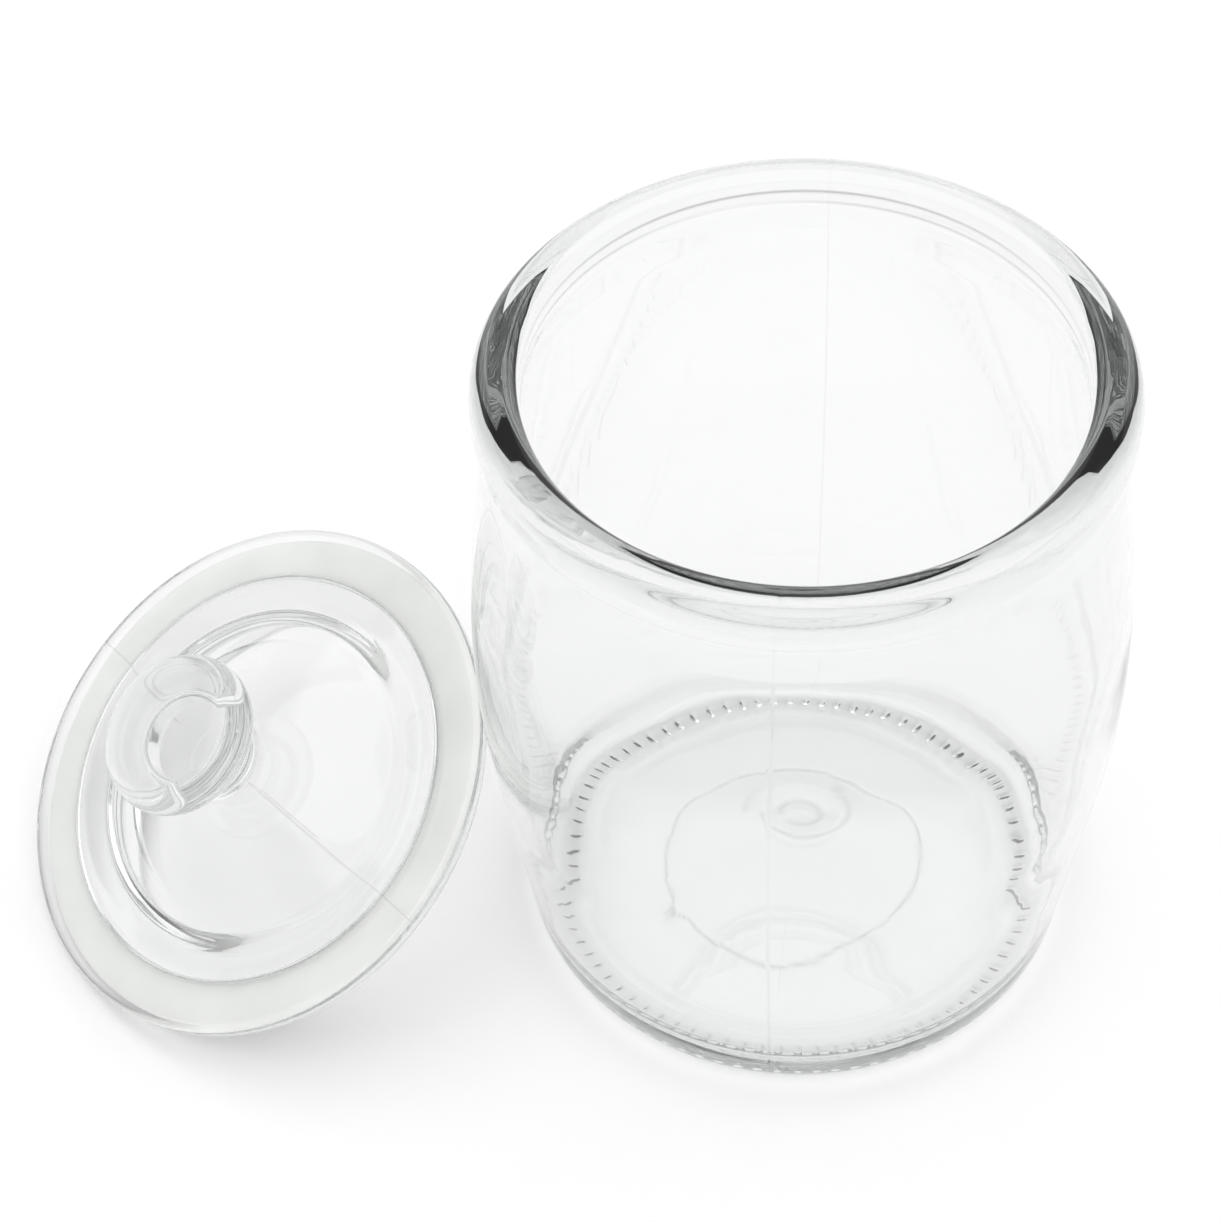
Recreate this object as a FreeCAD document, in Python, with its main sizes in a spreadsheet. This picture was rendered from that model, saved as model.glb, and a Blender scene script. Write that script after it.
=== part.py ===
import FreeCAD, Part
import Sketcher
import math
import os

# Clear glass fermentation jar with its loose glass lid and the lid's milky
# seal ring. The jar stands on its bearing ring; the lid leans beside it, its
# low edge on the same surface and its high edge against the jar wall.
# Row frame: millimetres, +Z up, origin at the middle of the foot of the whole
# set, on the surface that it stands on.

doc = FreeCAD.newDocument("FermentationJar")

# ---------------------------------------------------------------- dimensions
sheet = doc.addObject("Spreadsheet::Sheet", "Sizes")
SIZES = [
    # jar, outside (radii from the jar axis, heights from the bearing ring)
    ("jar_height", 140.5),
    ("foot_inner_radius", 43.3),
    ("foot_corner_radius", 54.16),
    ("pushup_height", 3.2),
    ("heel_round", 6.06),
    ("cone_top_radius", 59.82),
    ("cone_top_height", 47.2),
    ("belly_arc_radius", 200.0),
    ("shoulder_low_radius", 60.31),
    ("shoulder_low_height", 90.3),
    ("shoulder_arc_radius", 800.0),
    ("neck_radius", 55.45),
    ("neck_height", 130.4),
    ("bead_radius", 57.35),
    ("bead_low_height", 133.0),
    ("bead_top_round", 4.0),
    ("bead_low_round", 1.7),
    ("neck_round", 1.6),
    # jar, inside
    ("floor_height", 6.2),
    ("floor_edge_radius", 51.8),
    ("floor_edge_height", 3.8),
    ("inner_heel_round", 9.0),
    ("inner_cone_top_radius", 56.45),
    ("inner_belly_arc_radius", 196.0),
    ("inner_shoulder_low_radius", 56.95),
    ("inner_shoulder_arc_radius", 800.0),
    ("inner_neck_radius", 52.1),
    ("inner_neck_height", 121.5),
    ("inner_neck_round", 9.0),
    ("bore_radius", 48.5),
    ("bore_low_height", 131.6),
    ("bore_low_round", 3.0),
    ("bore_top_round", 3.0),
    ("cut_overshoot", 6.0),
    # lid, in its own frame: its axis is Z, the foot of its plug is at zero
    ("plug_bottom_radius", 40.7),
    ("plug_root_radius", 41.9),
    ("plug_inner_radius", 34.2),
    ("plug_round", 1.6),
    ("hollow_edge_radius", 31.6),
    ("hollow_edge_height", 3.6),
    ("hollow_top_height", 12.5),
    ("flange_radius", 53.0),
    ("flange_low_height", 4.5),
    ("flange_top_height", 8.5),
    ("flange_round", 1.6),
    ("collar_foot_radius", 42.5),
    ("collar_foot_round", 1.5),
    ("collar_top_radius", 37.4),
    ("collar_top_height", 12.1),
    ("collar_top_round", 2.4),
    ("stem_radius", 8.0),
    ("stem_low_height", 17.5),
    ("stem_high_height", 27.3),
    ("stem_round", 2.2),
    ("knob_land_radius", 12.15),
    ("knob_under_height", 28.06),
    ("knob_over_height", 37.54),
    ("knob_side_radius", 4.8),
    ("knob_top_height", 38.4),
    # seal ring, in the lid's frame
    ("seal_bore_radius", 41.95),
    ("seal_outer_radius", 51.0),
    ("seal_low_height", 2.0),
    ("seal_round", 0.9),
    # where the pieces stand
    ("jar_x", 47.827),
    ("jar_y", 0.0),
    ("lid_x", -57.993),
    ("lid_y", 8.452),
    ("lid_z", 23.439),
    ("lid_tilt", 30.0),
    ("lid_azimuth", 212.0),
]
V = {}
for row, (alias, value) in enumerate(SIZES, start=1):
    sheet.set("A%d" % row, alias)
    sheet.set("B%d" % row, repr(float(value)))
    sheet.setAlias("B%d" % row, alias)
    V[alias] = float(value)
doc.recompute()


# ------------------------------------------------------------------- helpers
def origin_plane(body, role):
    for feature in body.Origin.OriginFeatures:
        if getattr(feature, "Role", "") == role:
            return feature
    raise RuntimeError("no plane " + role)


def lookup(name):
    """Value of a cell, or of a plain zero."""
    return 0.0 if name is None else V[name]


def arc_between(p, q, radius, side):
    """Circular arc from p to q; side +1 bulges to the left of p->q, -1 right.

    Returns the arc with its own start/end order (always anticlockwise) and
    whether p is its start.
    """
    dx, dy = q[0] - p[0], q[1] - p[1]
    chord = math.hypot(dx, dy)
    rise = math.sqrt(max(radius * radius - chord * chord / 4.0, 0.0))
    nx, ny = -dy / chord, dx / chord          # left of the direction p -> q
    cx = (p[0] + q[0]) / 2.0 - side * nx * rise
    cy = (p[1] + q[1]) / 2.0 - side * ny * rise
    circle = Part.Circle(FreeCAD.Vector(cx, cy, 0), FreeCAD.Vector(0, 0, 1), radius)
    ap = math.atan2(p[1] - cy, p[0] - cx)
    aq = math.atan2(q[1] - cy, q[0] - cx)
    if side > 0:                              # clockwise from p to q
        while ap < aq:
            ap += 2 * math.pi
        return Part.ArcOfCircle(circle, aq, ap), False
    while aq < ap:
        aq += 2 * math.pi
    return Part.ArcOfCircle(circle, ap, aq), True


def profile(body, name, corners, arcs):
    """Closed half profile on the body's XZ plane.

    corners: list of (radius cell or None, height cell or None[, extra cell]);
    arcs: {index of the edge that starts at that corner: (radius cell, side)},
    where a radius of None means an arc centred on the turning axis, a dome.
    Every corner is tied to the sheet, and every arc's radius.
    """
    sketch = body.newObject("Sketcher::SketchObject", name)
    sketch.AttachmentSupport = [(origin_plane(body, "XZ_Plane"), "")]
    sketch.MapMode = "FlatFace"
    points = []
    for c in corners:
        extra = V[c[2]] if len(c) > 2 else 0.0
        points.append((lookup(c[0]), lookup(c[1]) + extra))
    edges = []
    for i, p in enumerate(points):
        q = points[(i + 1) % len(points)]
        if i in arcs:
            cell, side = arcs[i]
            if cell is None:
                middle = ((p[0] ** 2 - q[0] ** 2 + p[1] ** 2 - q[1] ** 2)
                          / (2.0 * (p[1] - q[1])))
                radius = math.hypot(p[0], p[1] - middle)
            else:
                radius = V[cell]
            shape, forward = arc_between(p, q, radius, side)
            index = sketch.addGeometry(shape, False)
            edges.append((index, 1 if forward else 2, 2 if forward else 1))
        else:
            index = sketch.addGeometry(Part.LineSegment(
                FreeCAD.Vector(p[0], p[1], 0), FreeCAD.Vector(q[0], q[1], 0)), False)
            edges.append((index, 1, 2))
    count = len(edges)
    for i in range(count):
        a, b = edges[i], edges[(i + 1) % count]
        sketch.addConstraint(Sketcher.Constraint("Coincident", a[0], a[2], b[0], b[1]))
    for i, c in enumerate(corners):
        index, start = edges[i][0], edges[i][1]
        if c[0] is None:
            sketch.addConstraint(Sketcher.Constraint("PointOnObject", index, start, -2))
        else:
            k = sketch.addConstraint(Sketcher.Constraint(
                "DistanceX", -1, 1, index, start, points[i][0]))
            sketch.setExpression("Constraints[%d]" % k, "Sizes.%s" % c[0])
        if c[1] is None:
            sketch.addConstraint(Sketcher.Constraint("PointOnObject", index, start, -1))
        else:
            k = sketch.addConstraint(Sketcher.Constraint(
                "DistanceY", -1, 1, index, start, points[i][1]))
            text = "Sizes.%s" % c[1]
            if len(c) > 2:
                text += " + Sizes.%s" % c[2]
            sketch.setExpression("Constraints[%d]" % k, text)
    for i, (cell, side) in sorted(arcs.items()):
        if cell is None:
            sketch.addConstraint(Sketcher.Constraint(
                "PointOnObject", edges[i][0], 3, -2))
            continue
        k = sketch.addConstraint(Sketcher.Constraint("Radius", edges[i][0], V[cell]))
        sketch.setExpression("Constraints[%d]" % k, "Sizes.%s" % cell)
    sketch.Visibility = False
    return sketch


def turned(body, name, kind, sketch):
    feature = body.newObject(kind, name)
    feature.Profile = sketch
    feature.ReferenceAxis = (sketch, ["V_Axis"])
    feature.Angle = 360.0
    doc.recompute()
    return feature


def ring_edges(shape, wanted):
    """Names of the circular edges at the given (radius, height) pairs."""
    names = []
    for radius, height in wanted:
        best = None
        for i, edge in enumerate(shape.Edges, start=1):
            if edge.Degenerated:
                continue
            curve = edge.Curve
            if not isinstance(curve, Part.Circle):
                continue
            miss = abs(curve.Radius - radius) + abs(curve.Center.z - height)
            if best is None or miss < best[0]:
                best = (miss, i)
        if best is None or best[0] > 0.05:
            raise RuntimeError("no edge near r %.2f z %.2f" % (radius, height))
        names.append("Edge%d" % best[1])
    return names


def rounded(body, name, base, cell, corners):
    fillet = body.newObject("PartDesign::Fillet", name)
    wanted = [(lookup(r), lookup(h)) for r, h in corners]
    fillet.Base = (base, ring_edges(base.Shape, wanted))
    fillet.Radius = V[cell]
    fillet.setExpression("Radius", "Sizes.%s" % cell)
    doc.recompute()
    return fillet


# ----------------------------------------------------------------------- jar
jar = doc.addObject("PartDesign::Body", "Jar")
jar.Label = "jar"

outer = profile(jar, "JarOuter", [
    (None, "pushup_height"),
    ("foot_inner_radius", None),
    ("foot_corner_radius", None),
    ("cone_top_radius", "cone_top_height"),
    ("shoulder_low_radius", "shoulder_low_height"),
    ("neck_radius", "neck_height"),
    ("bead_radius", "bead_low_height"),
    ("bead_radius", "jar_height"),
    (None, "jar_height"),
], {0: (None, 1),
    3: ("belly_arc_radius", -1),
    4: ("shoulder_arc_radius", -1)})
blank = turned(jar, "JarBlank", "PartDesign::Revolution", outer)
solid_volume = blank.Shape.Volume

inner = profile(jar, "JarInner", [
    (None, "floor_height"),
    ("floor_edge_radius", "floor_edge_height"),
    ("inner_cone_top_radius", "cone_top_height"),
    ("inner_shoulder_low_radius", "shoulder_low_height"),
    ("inner_neck_radius", "inner_neck_height"),
    ("bore_radius", "bore_low_height"),
    ("bore_radius", "jar_height", "cut_overshoot"),
    (None, "jar_height", "cut_overshoot"),
], {0: (None, 1),
    2: ("inner_belly_arc_radius", -1),
    3: ("inner_shoulder_arc_radius", -1)})
hollow = turned(jar, "JarHollow", "PartDesign::Groove", inner)
if not hollow.Shape.Volume < 0.5 * solid_volume:
    raise RuntimeError("the jar was not hollowed")

step = rounded(jar, "HeelRound", hollow, "heel_round",
               [("foot_corner_radius", None)])
step = rounded(jar, "BeadLowRound", step, "bead_low_round",
               [("bead_radius", "bead_low_height")])
step = rounded(jar, "NeckRound", step, "neck_round",
               [("neck_radius", "neck_height")])
step = rounded(jar, "BeadTopRound", step, "bead_top_round",
               [("bead_radius", "jar_height")])
step = rounded(jar, "BoreTopRound", step, "bore_top_round",
               [("bore_radius", "jar_height")])
step = rounded(jar, "BoreLowRound", step, "bore_low_round",
               [("bore_radius", "bore_low_height")])
step = rounded(jar, "InnerNeckRound", step, "inner_neck_round",
               [("inner_neck_radius", "inner_neck_height")])
step = rounded(jar, "InnerHeelRound", step, "inner_heel_round",
               [("floor_edge_radius", "floor_edge_height")])
jar.Tip = step

# ----------------------------------------------------------------------- lid
lid = doc.addObject("PartDesign::Body", "Lid")
lid.Label = "lid"
section = profile(lid, "LidSection", [
    (None, "hollow_top_height"),
    ("hollow_edge_radius", "hollow_edge_height"),
    ("plug_inner_radius", None),
    ("plug_bottom_radius", None),
    ("plug_root_radius", "flange_low_height"),
    ("flange_radius", "flange_low_height"),
    ("flange_radius", "flange_top_height"),
    ("collar_foot_radius", "flange_top_height"),
    ("collar_top_radius", "collar_top_height"),
    ("stem_radius", "stem_low_height"),
    ("stem_radius", "stem_high_height"),
    ("knob_land_radius", "knob_under_height"),
    ("knob_land_radius", "knob_over_height"),
    (None, "knob_top_height"),
], {0: (None, 1),
    8: (None, -1),
    11: ("knob_side_radius", -1),
    12: (None, -1)})
step = turned(lid, "LidBlank", "PartDesign::Revolution", section)
step = rounded(lid, "FlangeRound", step, "flange_round", [
    ("flange_radius", "flange_low_height"), ("flange_radius", "flange_top_height")])
step = rounded(lid, "PlugRound", step, "plug_round", [
    ("plug_inner_radius", None), ("plug_bottom_radius", None)])
step = rounded(lid, "CollarFootRound", step, "collar_foot_round",
               [("collar_foot_radius", "flange_top_height")])
step = rounded(lid, "CollarTopRound", step, "collar_top_round", [
    ("collar_top_radius", "collar_top_height"),
    ("hollow_edge_radius", "hollow_edge_height")])
step = rounded(lid, "StemRound", step, "stem_round", [
    ("stem_radius", "stem_low_height"), ("stem_radius", "stem_high_height")])
lid.Tip = step

# ----------------------------------------------------------------- seal ring
seal = doc.addObject("PartDesign::Body", "Seal")
seal.Label = "lid_seal"
ring = profile(seal, "SealSection", [
    ("seal_bore_radius", "seal_low_height"),
    ("seal_outer_radius", "seal_low_height"),
    ("seal_outer_radius", "flange_low_height"),
    ("seal_bore_radius", "flange_low_height"),
], {})
step = turned(seal, "SealBlank", "PartDesign::Revolution", ring)
step = rounded(seal, "SealRound", step, "seal_round", [
    ("seal_bore_radius", "seal_low_height"),
    ("seal_outer_radius", "seal_low_height")])
seal.Tip = step

# ---------------------------------------------------------------- placements
# The lid's axis leans by lid_tilt from vertical, towards lid_azimuth.
azimuth = math.radians(V["lid_azimuth"])
lean_axis = FreeCAD.Vector(-math.sin(azimuth), math.cos(azimuth), 0)
jar.Placement = FreeCAD.Placement(FreeCAD.Vector(V["jar_x"], V["jar_y"], 0),
                                  FreeCAD.Rotation())
jar.setExpression("Placement.Base.x", "Sizes.jar_x")
jar.setExpression("Placement.Base.y", "Sizes.jar_y")
for body in (lid, seal):
    body.Placement = FreeCAD.Placement(
        FreeCAD.Vector(V["lid_x"], V["lid_y"], V["lid_z"]),
        FreeCAD.Rotation(lean_axis, V["lid_tilt"]))
    body.setExpression("Placement.Base.x", "Sizes.lid_x")
    body.setExpression("Placement.Base.y", "Sizes.lid_y")
    body.setExpression("Placement.Base.z", "Sizes.lid_z")

doc.recompute()

# -------------------------------------------------------------------- checks
for obj in doc.Objects:
    if "Invalid" in obj.State or "Error" in obj.State:
        raise RuntimeError("failed object " + obj.Label)

bodies = [jar, lid, seal]
for body in bodies:
    shape = body.Shape
    if shape.isNull() or not shape.isValid() or len(shape.Solids) != 1:
        raise RuntimeError("bad solid " + body.Label)

everything = Part.makeCompound([b.Shape for b in bodies])
box = everything.optimalBoundingBox(False)
print("box x %.3f %.3f  y %.3f %.3f  z %.3f %.3f" % (
    box.XMin, box.XMax, box.YMin, box.YMax, box.ZMin, box.ZMax))
lb = Part.makeCompound([lid.Shape, seal.Shape]).optimalBoundingBox(False)
print("lid low point %.4f" % lb.ZMin)
print("lid to jar %.4f" % lid.Shape.distToShape(jar.Shape)[0],
      "seal to jar %.4f" % seal.Shape.distToShape(jar.Shape)[0])
for body in bodies:
    print("%s volume %.2f cm3" % (body.Label, body.Shape.Volume / 1000.0))

# --------------------------------------------------------------------- files
os.makedirs("parts", exist_ok=True)
for body in bodies:
    body.Shape.exportStep(os.path.join("parts", body.Label + ".step"))
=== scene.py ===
import math
import bpy
import numpy as np
from mathutils import Matrix, Vector, Quaternion


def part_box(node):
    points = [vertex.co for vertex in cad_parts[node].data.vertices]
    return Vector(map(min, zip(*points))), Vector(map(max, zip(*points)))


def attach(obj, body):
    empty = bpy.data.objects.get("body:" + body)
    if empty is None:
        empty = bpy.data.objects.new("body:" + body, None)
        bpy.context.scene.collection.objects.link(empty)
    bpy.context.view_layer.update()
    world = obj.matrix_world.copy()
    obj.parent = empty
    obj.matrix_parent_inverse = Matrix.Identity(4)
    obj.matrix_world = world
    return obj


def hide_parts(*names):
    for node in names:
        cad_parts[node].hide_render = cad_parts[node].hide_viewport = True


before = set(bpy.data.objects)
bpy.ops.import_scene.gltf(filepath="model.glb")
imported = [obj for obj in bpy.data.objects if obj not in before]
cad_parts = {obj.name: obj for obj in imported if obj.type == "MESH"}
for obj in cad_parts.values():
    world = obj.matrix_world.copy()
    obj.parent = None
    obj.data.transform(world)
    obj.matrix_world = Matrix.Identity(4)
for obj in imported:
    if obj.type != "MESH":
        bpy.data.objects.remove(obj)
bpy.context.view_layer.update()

MM = 0.001
rng = np.random.default_rng(20)

# ------------------------------------------------------------------ places
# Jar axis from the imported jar; the lid's own frame as the construction has it.
jar_lo, jar_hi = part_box("jar")
JAR = Vector(((jar_lo.x + jar_hi.x) / 2, (jar_lo.y + jar_hi.y) / 2, 0.0))
LID_AZ = math.radians(212.0)
LID_TILT = math.radians(30.0)
lean = Vector((-math.sin(LID_AZ), math.cos(LID_AZ), 0.0))
LID = Matrix.Translation(Vector((-57.993, 8.452, 23.439)) * MM) @ \
    Quaternion(lean, LID_TILT).to_matrix().to_4x4()


# ------------------------------------------------------------ profile tools
def sample(p, q, arc, step):
    """Points from p (left out) to q (included); arc None or (radius, side),
    or ('axis', side) for a dome centred on the turning axis."""
    p, q = np.array(p, float), np.array(q, float)
    if arc is None:
        n = max(1, int(math.ceil(np.hypot(*(q - p)) / step)))
        return [p + (q - p) * k / n for k in range(1, n + 1)]
    radius, side = arc
    if radius == "axis":
        m = (p[0]**2 - q[0]**2 + p[1]**2 - q[1]**2) / (2 * (p[1] - q[1]))
        c = np.array((0.0, m))
        radius = np.hypot(*(p - c))
    else:
        d = q - p
        chord = np.hypot(*d)
        rise = math.sqrt(max(radius**2 - chord**2 / 4, 0))
        nrm = np.array((-d[1], d[0])) / chord
        c = (p + q) / 2 - side * nrm * rise
    a0 = math.atan2(*(p - c)[::-1])
    a1 = math.atan2(*(q - c)[::-1])
    if side > 0:
        while a1 > a0:
            a1 -= 2 * math.pi
    else:
        while a1 < a0:
            a1 += 2 * math.pi
    n = max(1, int(math.ceil(abs(a1 - a0) * radius / step)))
    return [c + radius * np.array((math.cos(a), math.sin(a)))
            for a in np.linspace(a0, a1, n + 1)[1:]]


def outline(corners, fine=0.25):
    """Dense half profile. corners: (r, z, fillet radius, arc to the next)."""
    dense = [np.array(corners[0][:2], float)]
    at = [0]
    for a, b in zip(corners, corners[1:]):
        dense += sample(a[:2], b[:2], a[3] if len(a) > 3 else None, fine)
        at.append(len(dense) - 1)
    dense = np.array(dense)
    cuts = []
    for k, c in zip(at[1:-1], corners[1:-1]):
        f = c[2]
        if not f:
            continue
        u = dense[k] - dense[k - 1]
        v = dense[k + 1] - dense[k]
        u, v = u / np.hypot(*u), v / np.hypot(*v)
        turn = math.acos(max(-1, min(1, float(u @ v))))
        t = f * math.tan(turn / 2)
        i = k
        while i > 0 and np.hypot(*(dense[i] - dense[k])) < t:
            i -= 1
        j = k
        while j < len(dense) - 1 and np.hypot(*(dense[j] - dense[k])) < t:
            j += 1
        s, e = dense[k] - u * t, dense[k] + v * t
        sign = 1 if u[0] * v[1] - u[1] * v[0] > 0 else -1
        c0 = s + sign * f * np.array((-u[1], u[0]))
        a0 = math.atan2(*(s - c0)[::-1])
        n = max(3, int(math.ceil(math.degrees(turn) / 5)))
        pts = [c0 + f * np.array((math.cos(a0 + sign * turn * m / n),
                                  math.sin(a0 + sign * turn * m / n)))
               for m in range(n + 1)]
        cuts.append((i, j, pts))
    out, pos = [], 0
    for i, j, pts in cuts:
        out += list(dense[pos:i + 1]) + pts
        pos = j
    out += list(dense[pos:])
    keep = [out[0]]
    for p in out[1:]:
        if np.hypot(*(p - keep[-1])) > 1e-4:
            keep.append(p)
    return np.array(keep)


def thin(path, spacing):
    """Drops points where the profile is nearly straight: spacing(p) is the
    widest gap allowed there, and no kept turn is over about 6 degrees."""
    keep = [0]
    turn = 0.0
    for i in range(1, len(path) - 1):
        a, b = path[i] - path[i - 1], path[i + 1] - path[i]
        turn += abs(math.atan2(a[0] * b[1] - a[1] * b[0], a @ b))
        gap = np.hypot(*(path[i] - path[keep[-1]]))
        if turn > math.radians(5.0) or gap >= spacing(path[i]):
            keep.append(i)
            turn = 0.0
    keep.append(len(path) - 1)
    return path[keep]


def lathe(name, path, phis, shape):
    """Closed turned mesh. path runs from the axis to the axis; shape takes
    grids in millimetres and returns displaced r and z and how much painted
    shade each point gets, from 0 to 1, which the glass material reads."""
    body = path[1:-1]
    R = np.repeat(body[:, :1], len(phis), 1)
    Z = np.repeat(body[:, 1:], len(phis), 1)
    P = np.repeat(phis[None, :], len(body), 0)
    index = np.repeat(np.arange(len(body))[:, None], len(phis), 1)
    R, Z, M = shape(R, Z, P, index)
    co = np.stack([R * np.cos(P), R * np.sin(P), Z], -1).reshape(-1, 3)
    ends = np.array([[0, 0, path[0][1]], [0, 0, path[-1][1]]])
    co = np.vstack([co, ends]) * MM
    n, m = len(body), len(phis)
    grid = np.arange(n * m).reshape(n, m)
    right = np.roll(grid, -1, 1)
    quads = np.stack([grid[:-1], right[:-1], right[1:], grid[1:]], -1).reshape(-1, 4)
    faces = [tuple(q) for q in quads.tolist()]
    faces += [(int(right[0, k]), int(grid[0, k]), n * m) for k in range(m)]
    faces += [(int(grid[-1, k]), int(right[-1, k]), n * m + 1) for k in range(m)]
    mesh = bpy.data.meshes.new(name)
    mesh.from_pydata(co.tolist(), [], faces)
    painted_shade = mesh.attributes.new("painted_shade", "FLOAT", "POINT")
    painted_shade.data.foreach_set("value", np.concatenate([M.ravel(), [0.0, 0.0]]))
    mesh.validate()
    v = np.array([p.co for p in mesh.vertices])
    mesh.calc_loop_triangles()
    t = np.array([tri.vertices for tri in mesh.loop_triangles])
    vol = np.einsum('ij,ij->i', v[t[:, 0]], np.cross(v[t[:, 1]], v[t[:, 2]])).sum() / 6
    if vol < 0:
        mesh.flip_normals()
    mesh.shade_smooth()
    obj = bpy.data.objects.new(name, mesh)
    bpy.context.scene.collection.objects.link(obj)
    return obj


def wobble(phi, terms):
    """Sum of harmonics: terms are (order, amplitude, phase in degrees)."""
    out = 0.0
    for k, a, d in terms:
        out = out + a * np.cos(k * phi - math.radians(d))
    return out


def bump(x, w):
    """Smooth hump, 1 at x = 0 and 0 beyond |x| = w."""
    y = np.clip(1 - (x / w) ** 2, 0, 1)
    return y * y


def away(phi, centre):
    return (phi - centre + math.pi) % (2 * math.pi) - math.pi


# --------------------------------------------------------------------- jar
BARS = 84
SEAMS = (math.radians(-100.0), math.radians(80.0))

jar_path = outline([
    (0, 3.2, 0, ("axis", 1)),
    (43.3, 0.45, 1.5),
    (54.16, 0.0, 6.06),
    (59.82, 47.2, 0, (200.0, -1)),
    (60.31, 90.3, 0, (800.0, -1)),
    (55.45, 130.4, 1.6),
    (57.35, 133.0, 1.7),
    (57.35, 140.5, 4.0),
    (48.5, 140.5, 3.0),
    (48.5, 132.4, 3.0),
    (52.1, 122.2, 9.0, (800.0, 1)),
    (56.95, 90.3, 0, (196.0, 1)),
    (56.45, 47.2, 0),
    (51.8, 3.8, 9.0, ("axis", -1)),
    (0, 6.2, 0),
])


def jar_spacing(p):
    r, z = p
    if z < 3.4 and 23.0 < r < 29.5:
        return 0.42
    if z < 1.6 and 45.3 < r < 50.4:
        return 0.45
    if 3.9 < z < 7 and r < 21:
        return 0.9
    if 134.8 < z < 138.5 and r < 49.4:
        return 0.3
    if z > 122:
        return 1.3
    if 14 < z < 122:
        return 4.0
    return 2.6


jar_path = thin(jar_path, jar_spacing)
phis = np.arange(BARS * 8) * 2 * math.pi / (BARS * 8)
extra = []
for s in SEAMS:
    extra += [s + math.radians(d) for d in (-0.42, -0.24, -0.1, 0.0, 0.1, 0.24, 0.42)]
phis = np.unique(np.round(np.concatenate([phis, np.mod(extra, 2 * math.pi)]), 6))
top_i = int(np.argmax(jar_path[1:-1, 1]))


def jar_shape(r, z, phi, i):
    outer = i <= top_i
    wall = np.clip((z - 12) / 25, 0, 1) * np.clip((132 - z) / 12, 0, 1)
    slow = (wobble(phi, [(2, .05, 20), (3, .04, 130), (5, .025, 40), (7, .02, 200)])
            + .03 * np.sin(z / 9.0 + 1.3 * np.cos(phi * 2))
            + .02 * np.sin(z / 4.3 + 3 * phi))
    r = r - np.where(outer, 0.10, 0.0) * np.clip(z / 10, 0, 1)
    r = r + np.where(outer, 0.35, 0.75) * wall * slow * np.where(outer, 1, -1)
    under = outer & (z < 3.4)
    # the knurled foot: the ring is lifted and only the bars touch down
    ring = under & (z < 3.0) & (r > 44) & (r < 53)
    up = 0.60 * np.clip((r - 44.0) / 1.6, 0, 1) * np.clip((53 - r) / 2.5, 0, 1)
    across = away(phi * BARS, 0.0) / BARS * 48.0
    uneven = 1 + wobble(phi, [(3, .12, 40), (7, .16, 150), (17, .12, 10), (31, .10, 80)])
    bar = bump(across - 0.12 * wobble(phi, [(11, 1, 30), (23, 1, 0)]), 0.90) \
        * bump(r - 47.9 - 0.25 * wobble(phi, [(5, 1, 60), (13, 1, 20)]), 2.1) ** 0.5
    z = z + np.where(ring, up * (1 - bar), 0.0)
    # painted shade down one side of each knurl bar, standing in for the shade in the
    # groove beside it
    side = bump(across - 0.62, 0.50) * bump(r - 47.9, 2.3) ** 0.5
    painted_shade = np.where(ring, 0.50 * side * np.clip(uneven, 0, 1.4), 0.0)
    # wavy parting line left by the bottom plate of the mould
    line = 26.5 + wobble(phi, [(1, .5, 200), (2, .55, 75), (3, .35, 310), (4, .25, 20),
                               (6, .18, 100), (9, .14, 250), (13, .10, 30), (21, .07, 80),
                               (47, .05, 10), (83, .04, 60)])
    line = line + 1.5 * bump(away(phi, math.radians(-153)) * 26, 3.5)
    z = z - np.where(under, 0.26 * bump(r - line, 0.55), 0.0)
    # painted shade along the parting line groove
    painted_shade = painted_shade + np.where(under, 0.45 * bump(r - line, 0.42), 0.0)
    # cold swirl where the drop of glass was cut, on the inside floor
    x, y = r * np.cos(phi), r * np.sin(phi)
    floor_in = ~outer & (z < 9) & (r < 24)
    u, v = (x - 2.6) / 7.0, (y - 10.8) / 7.6
    q, w = np.hypot(u, v), np.arctan2(v, u)
    open_c = np.clip(np.abs(away(w, math.radians(200))) / 0.9, 0, 1)
    z = z - np.where(floor_in, 0.36 * bump(q - 0.62, 0.30) * open_c, 0.0)
    z = z + np.where(floor_in, 0.26 * bump(q - 1.25 - 0.06 * w, 0.30)
                     * np.clip(np.abs(away(w, math.radians(150))) / 1.2, 0, 1), 0.0)
    # painted shade along the swirl's groove and ridge
    painted_shade = painted_shade + np.where(floor_in, 0.26 * bump(q - 0.62, 0.16) * open_c
                           + 0.24 * bump(q - 1.45 - 0.08 * w, 0.12)
                           * np.clip(np.abs(away(w, math.radians(120))) / 1.2, 0, 1), 0.0)
    # two fine grooves round the bore where the plunger and the ring met, with painted
    # shade along them
    bore = ~outer & (r < 49.6) & (z > 133.8) & (z < 139.4)
    for height, deep, grey in ((137.9 + 0.10 * np.cos(phi * 2), 0.12, 0.85),
                               (135.4 + 0.16 * np.cos(phi * 3 + 1), 0.12, 0.60)):
        r = r + np.where(bore, deep * bump(z - height, 0.45), 0.0)
        painted_shade = painted_shade + np.where(bore, grey * bump(z - height, 0.34), 0.0)
    # two upright mould seams on the outside, with painted shade along them, stronger near
    # the foot on one
    for s in SEAMS:
        d = away(phi, s) * 57.0
        seam = np.where(outer & (z > 1.5) & (z < 140.0), 1.0, 0.0)
        r = r + 0.09 * seam * bump(d, 0.30)
        faint = 0.05 + 0.17 * np.clip((16 - z) / 8, 0, 1) if s < 0 else 0.05
        painted_shade = painted_shade + faint * seam * bump(d, 0.26)
    return r, z, np.clip(painted_shade, 0, 1)


jar = lathe("jar_glass", jar_path, phis, jar_shape)
jar.location = JAR
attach(jar, "root")
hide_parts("jar")

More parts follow.
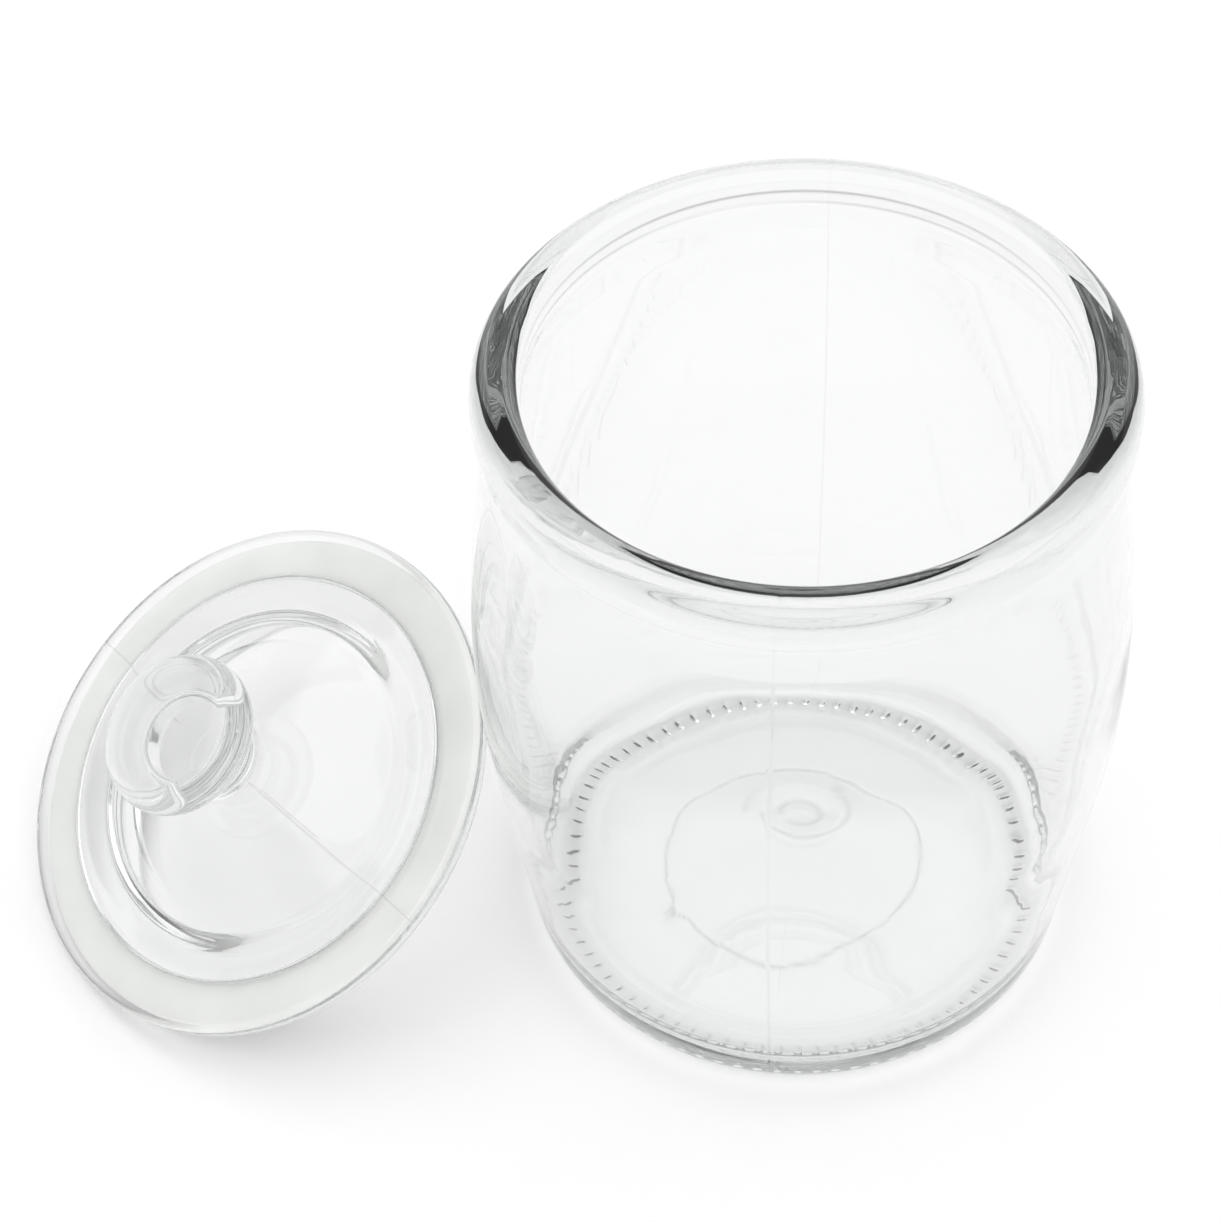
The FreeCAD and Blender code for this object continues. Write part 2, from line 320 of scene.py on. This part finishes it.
# --------------------------------------------------------------------- lid
lid_path = outline([
    (0, 12.5, 0, ("axis", 1)),
    (31.6, 3.6, 2.4),
    (34.2, 0.0, 1.6),
    (40.7, 0.0, 1.6),
    (41.9, 4.5, 0),
    (53.0, 4.5, 1.6),
    (53.0, 8.5, 1.6),
    (42.5, 8.5, 1.5),
    (37.4, 12.1, 2.4, ("axis", -1)),
    (8.0, 17.5, 2.2),
    (8.0, 27.3, 2.2),
    (12.15, 28.06, 0, (4.8, -1)),
    (12.15, 37.54, 0, ("axis", -1)),
    (0, 38.4, 0),
])
lid_path = thin(lid_path, lambda p: 1.3)
LID_SEAM = math.radians(130.0)
lid_phis = np.unique(np.round(np.concatenate(
    [np.arange(360) * 2 * math.pi / 360]
    + [np.mod(LID_SEAM + h + np.radians([-0.5, -0.3, -0.15, 0, 0.15, 0.3, 0.5]),
              2 * math.pi) for h in (0, math.pi)]), 6))


def lid_shape(r, z, phi, i):
    face = (z > 8.0) & (r > 9.5) & (z < 18)
    r2 = wobble(phi, [(2, .03, 20), (3, .03, 90), (5, .015, 10)])
    z = z + np.where(face, 1, 0) * 0.25 * r2 * np.clip((50 - r) / 6, 0, 1)
    # mould seam over the dome and the flange, with painted shade along it
    d = np.minimum(np.abs(away(phi, LID_SEAM)), np.abs(away(phi, LID_SEAM + math.pi))) * r
    seam = np.where((z > 7.4) & (r > 9.0) & (z < 19), 1.0, 0.0) * bump(d, 0.30) \
        * np.clip((53.2 - r) / 1.0, 0, 1)
    z = z + 0.04 * seam
    return r, z, 0.30 * seam


lid = lathe("lid_glass", lid_path, lid_phis, lid_shape)
lid.data.transform(LID)
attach(lid, "root")
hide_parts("lid")

# --------------------------------------------------------------- seal ring
def ring_mesh(name, section, phis, matrix):
    n, m = len(section), len(phis)
    co = np.array([[(r * math.cos(a), r * math.sin(a), z) for a in phis]
                   for r, z in section]).reshape(-1, 3) * MM
    grid = np.arange(n * m).reshape(n, m)
    down, right = np.roll(grid, -1, 0), np.roll(grid, -1, 1)
    both = np.roll(down, -1, 1)
    faces = np.stack([grid, right, both, down], -1).reshape(-1, 4).tolist()
    mesh = bpy.data.meshes.new(name)
    mesh.from_pydata(co.tolist(), [], faces)
    mesh.validate()
    v = np.array([p.co for p in mesh.vertices])
    mesh.calc_loop_triangles()
    t = np.array([tri.vertices for tri in mesh.loop_triangles])
    if np.einsum('ij,ij->i', v[t[:, 0]], np.cross(v[t[:, 1]], v[t[:, 2]])).sum() < 0:
        mesh.flip_normals()
    mesh.shade_smooth()
    mesh.transform(matrix)
    obj = bpy.data.objects.new(name, mesh)
    bpy.context.scene.collection.objects.link(obj)
    return obj


def loop(corners, fillets):
    """Closed section with rounded corners, as a list of points."""
    pts = []
    n = len(corners)
    for k in range(n):
        a, b, c = (np.array(corners[(k + s) % n], float) for s in (-1, 0, 1))
        f = fillets[k]
        if not f:
            pts.append(tuple(b))
            continue
        u, v = (b - a) / np.hypot(*(b - a)), (c - b) / np.hypot(*(c - b))
        turn = math.acos(float(u @ v))
        t = f * math.tan(turn / 2)
        sign = 1 if u[0] * v[1] - u[1] * v[0] > 0 else -1
        s = b - u * t
        c0 = s + sign * f * np.array((-u[1], u[0]))
        a0 = math.atan2(*(s - c0)[::-1])
        for m in range(7):
            w = a0 + sign * turn * m / 6
            pts.append((c0[0] + f * math.cos(w), c0[1] + f * math.sin(w)))
    return pts


seal_section = loop([(42.0, 2.0), (51.0, 2.0), (51.0, 4.45), (42.0, 4.45)],
                    [0.9, 0.9, 0.25, 0.25])
seal = ring_mesh("seal_ring", seal_section, np.arange(240) * 2 * math.pi / 240, LID)
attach(seal, "root")
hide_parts("lid_seal")


# ------------------------------------------------------------------ looks
def nodes_of(mat):
    mat.use_nodes = True
    nt = mat.node_tree
    nt.nodes.clear()
    return nt, nt.nodes.new("ShaderNodeOutputMaterial")


def glass(name, tint, density, ripple):
    mat = bpy.data.materials.new(name)
    nt, out = nodes_of(mat)
    p = nt.nodes.new("ShaderNodeBsdfPrincipled")
    p.inputs["Base Color"].default_value = (1, 1, 1, 1)
    p.inputs["Transmission Weight"].default_value = 1.0
    p.inputs["IOR"].default_value = 1.52
    p.inputs["Roughness"].default_value = 0.0
    tc = nt.nodes.new("ShaderNodeTexCoord")
    # painted shade: the base colour goes grey along the mould seams, the parting line,
    # the bore lines, the shear swirl and one side of each knurl bar, standing in for the
    # dark edges refraction gives them
    at = nt.nodes.new("ShaderNodeAttribute")
    at.attribute_name = "painted_shade"
    cr = nt.nodes.new("ShaderNodeValToRGB")
    cr.color_ramp.elements[0].color = (0.980, 0.984, 0.982, 1)
    cr.color_ramp.elements[1].color = (0.10, 0.105, 0.10, 1)
    nt.links.new(at.outputs["Fac"], cr.inputs["Fac"])
    nt.links.new(cr.outputs["Color"], p.inputs["Base Color"])
    n1 = nt.nodes.new("ShaderNodeTexNoise")
    n1.inputs["Scale"].default_value = 55.0
    n1.inputs["Detail"].default_value = 2.0
    b = nt.nodes.new("ShaderNodeBump")
    b.inputs["Strength"].default_value = ripple
    b.inputs["Distance"].default_value = 0.001
    nt.links.new(tc.outputs["Object"], n1.inputs["Vector"])
    nt.links.new(n1.outputs["Fac"], b.inputs["Height"])
    nt.links.new(b.outputs["Normal"], p.inputs["Normal"])
    nt.links.new(p.outputs["BSDF"], out.inputs["Surface"])
    # the glass itself is a little grey: thin walls stay clear, long ways
    # through the bead and the heel darken
    v = nt.nodes.new("ShaderNodeVolumeAbsorption")
    v.inputs["Color"].default_value = (*tint, 1)
    v.inputs["Density"].default_value = density
    nt.links.new(v.outputs["Volume"], out.inputs["Volume"])
    return mat


jar.data.materials.append(glass("jar_clear_glass", (0.10, 0.135, 0.125), 7.0, 0.05))
lid.data.materials.append(glass("lid_clear_glass", (0.10, 0.14, 0.12), 4.5, 0.04))

mat = bpy.data.materials.new("milky_silicone")
nt, out = nodes_of(mat)
p = nt.nodes.new("ShaderNodeBsdfPrincipled")
p.inputs["Base Color"].default_value = (0.94, 0.945, 0.93, 1)
p.inputs["Roughness"].default_value = 0.5
tc = nt.nodes.new("ShaderNodeTexCoord")
n1 = nt.nodes.new("ShaderNodeTexNoise")
n1.inputs["Scale"].default_value = 900.0
n1.inputs["Detail"].default_value = 3.0
b = nt.nodes.new("ShaderNodeBump")
b.inputs["Strength"].default_value = 0.15
b.inputs["Distance"].default_value = 0.0002
n2 = nt.nodes.new("ShaderNodeTexNoise")
n2.inputs["Scale"].default_value = 60.0
cr = nt.nodes.new("ShaderNodeValToRGB")
cr.color_ramp.elements[0].position = 0.3
cr.color_ramp.elements[0].color = (0.76, 0.765, 0.75, 1)
cr.color_ramp.elements[1].position = 0.7
cr.color_ramp.elements[1].color = (0.83, 0.835, 0.825, 1)
nt.links.new(tc.outputs["Object"], n1.inputs["Vector"])
nt.links.new(tc.outputs["Object"], n2.inputs["Vector"])
nt.links.new(n1.outputs["Fac"], b.inputs["Height"])
nt.links.new(n2.outputs["Fac"], cr.inputs["Fac"])
nt.links.new(cr.outputs["Color"], p.inputs["Base Color"])
nt.links.new(b.outputs["Normal"], p.inputs["Normal"])
nt.links.new(p.outputs["BSDF"], out.inputs["Surface"])
seal.data.materials.append(mat)

# ------------------------------------------------------------------ studio
bpy.ops.mesh.primitive_plane_add(size=1)
floor = bpy.context.object
floor.name = "floor"
floor.scale = (8, 8, 1)
floor.location = (0, 0, -0.0002)
mat = bpy.data.materials.new("white_floor")
nt, out = nodes_of(mat)
p = nt.nodes.new("ShaderNodeBsdfDiffuse")
p.inputs["Color"].default_value = (0.9, 0.9, 0.9, 1)
nt.links.new(p.outputs["BSDF"], out.inputs["Surface"])
floor.data.materials.append(mat)

# a broad round softbox overhead, a dim ring round it, and a pale sweep from
# the floor up: (height above the horizon in degrees, brightness)
SOFTBOX = 1.56
SKY = [(0, 0.95), (36, 0.95), (41, 0.48), (46, 0.48), (50, SOFTBOX)]
world = bpy.data.worlds.new("studio")
bpy.context.scene.world = world
world.use_nodes = True
wn = world.node_tree
wn.nodes.clear()
wo = wn.nodes.new("ShaderNodeOutputWorld")
bg = wn.nodes.new("ShaderNodeBackground")
bg.inputs["Strength"].default_value = SOFTBOX
wn.links.new(bg.outputs["Background"], wo.inputs["Surface"])
tc = wn.nodes.new("ShaderNodeTexCoord")
xyz = wn.nodes.new("ShaderNodeSeparateXYZ")
rp = wn.nodes.new("ShaderNodeValToRGB")
wn.links.new(tc.outputs["Generated"], xyz.inputs["Vector"])
wn.links.new(xyz.outputs["Z"], rp.inputs["Fac"])
wn.links.new(rp.outputs["Color"], bg.inputs["Color"])
rp.color_ramp.interpolation = "EASE"
while len(rp.color_ramp.elements) < len(SKY):
    rp.color_ramp.elements.new(1.0)
for e, (el, light) in reversed(list(zip(rp.color_ramp.elements, SKY))):
    e.position = math.sin(math.radians(el))
    e.color = (light / SOFTBOX,) * 3 + (1,)

# ------------------------------------------------------------------ camera
cam = bpy.data.cameras.new("camera")
cam.sensor_width = 36.0
cam.lens = 80.34
cam.clip_start, cam.clip_end = 0.01, 50.0
camera = bpy.data.objects.new("camera", cam)
bpy.context.scene.collection.objects.link(camera)
right = Vector((0.99843817, -0.04188857, -0.03696715))
up = Vector((0.0558679, 0.74860779, 0.6606551))
back = Vector((0.0, -0.66168854, 0.74977881))
rot = Matrix((right, up, back)).transposed().to_4x4()
camera.matrix_world = Matrix.Translation(
    Vector((-34.985, -334.627, 459.762)) * MM + JAR) @ rot
bpy.context.scene.camera = camera

sc = bpy.context.scene
sc.view_settings.view_transform = "Standard"
sc.view_settings.look = "None"
sc.cycles.blur_glossy = 0.0
sc.cycles.max_bounces = 22
sc.cycles.transmission_bounces = 22
sc.cycles.glossy_bounces = 22
sc.cycles.diffuse_bounces = 2
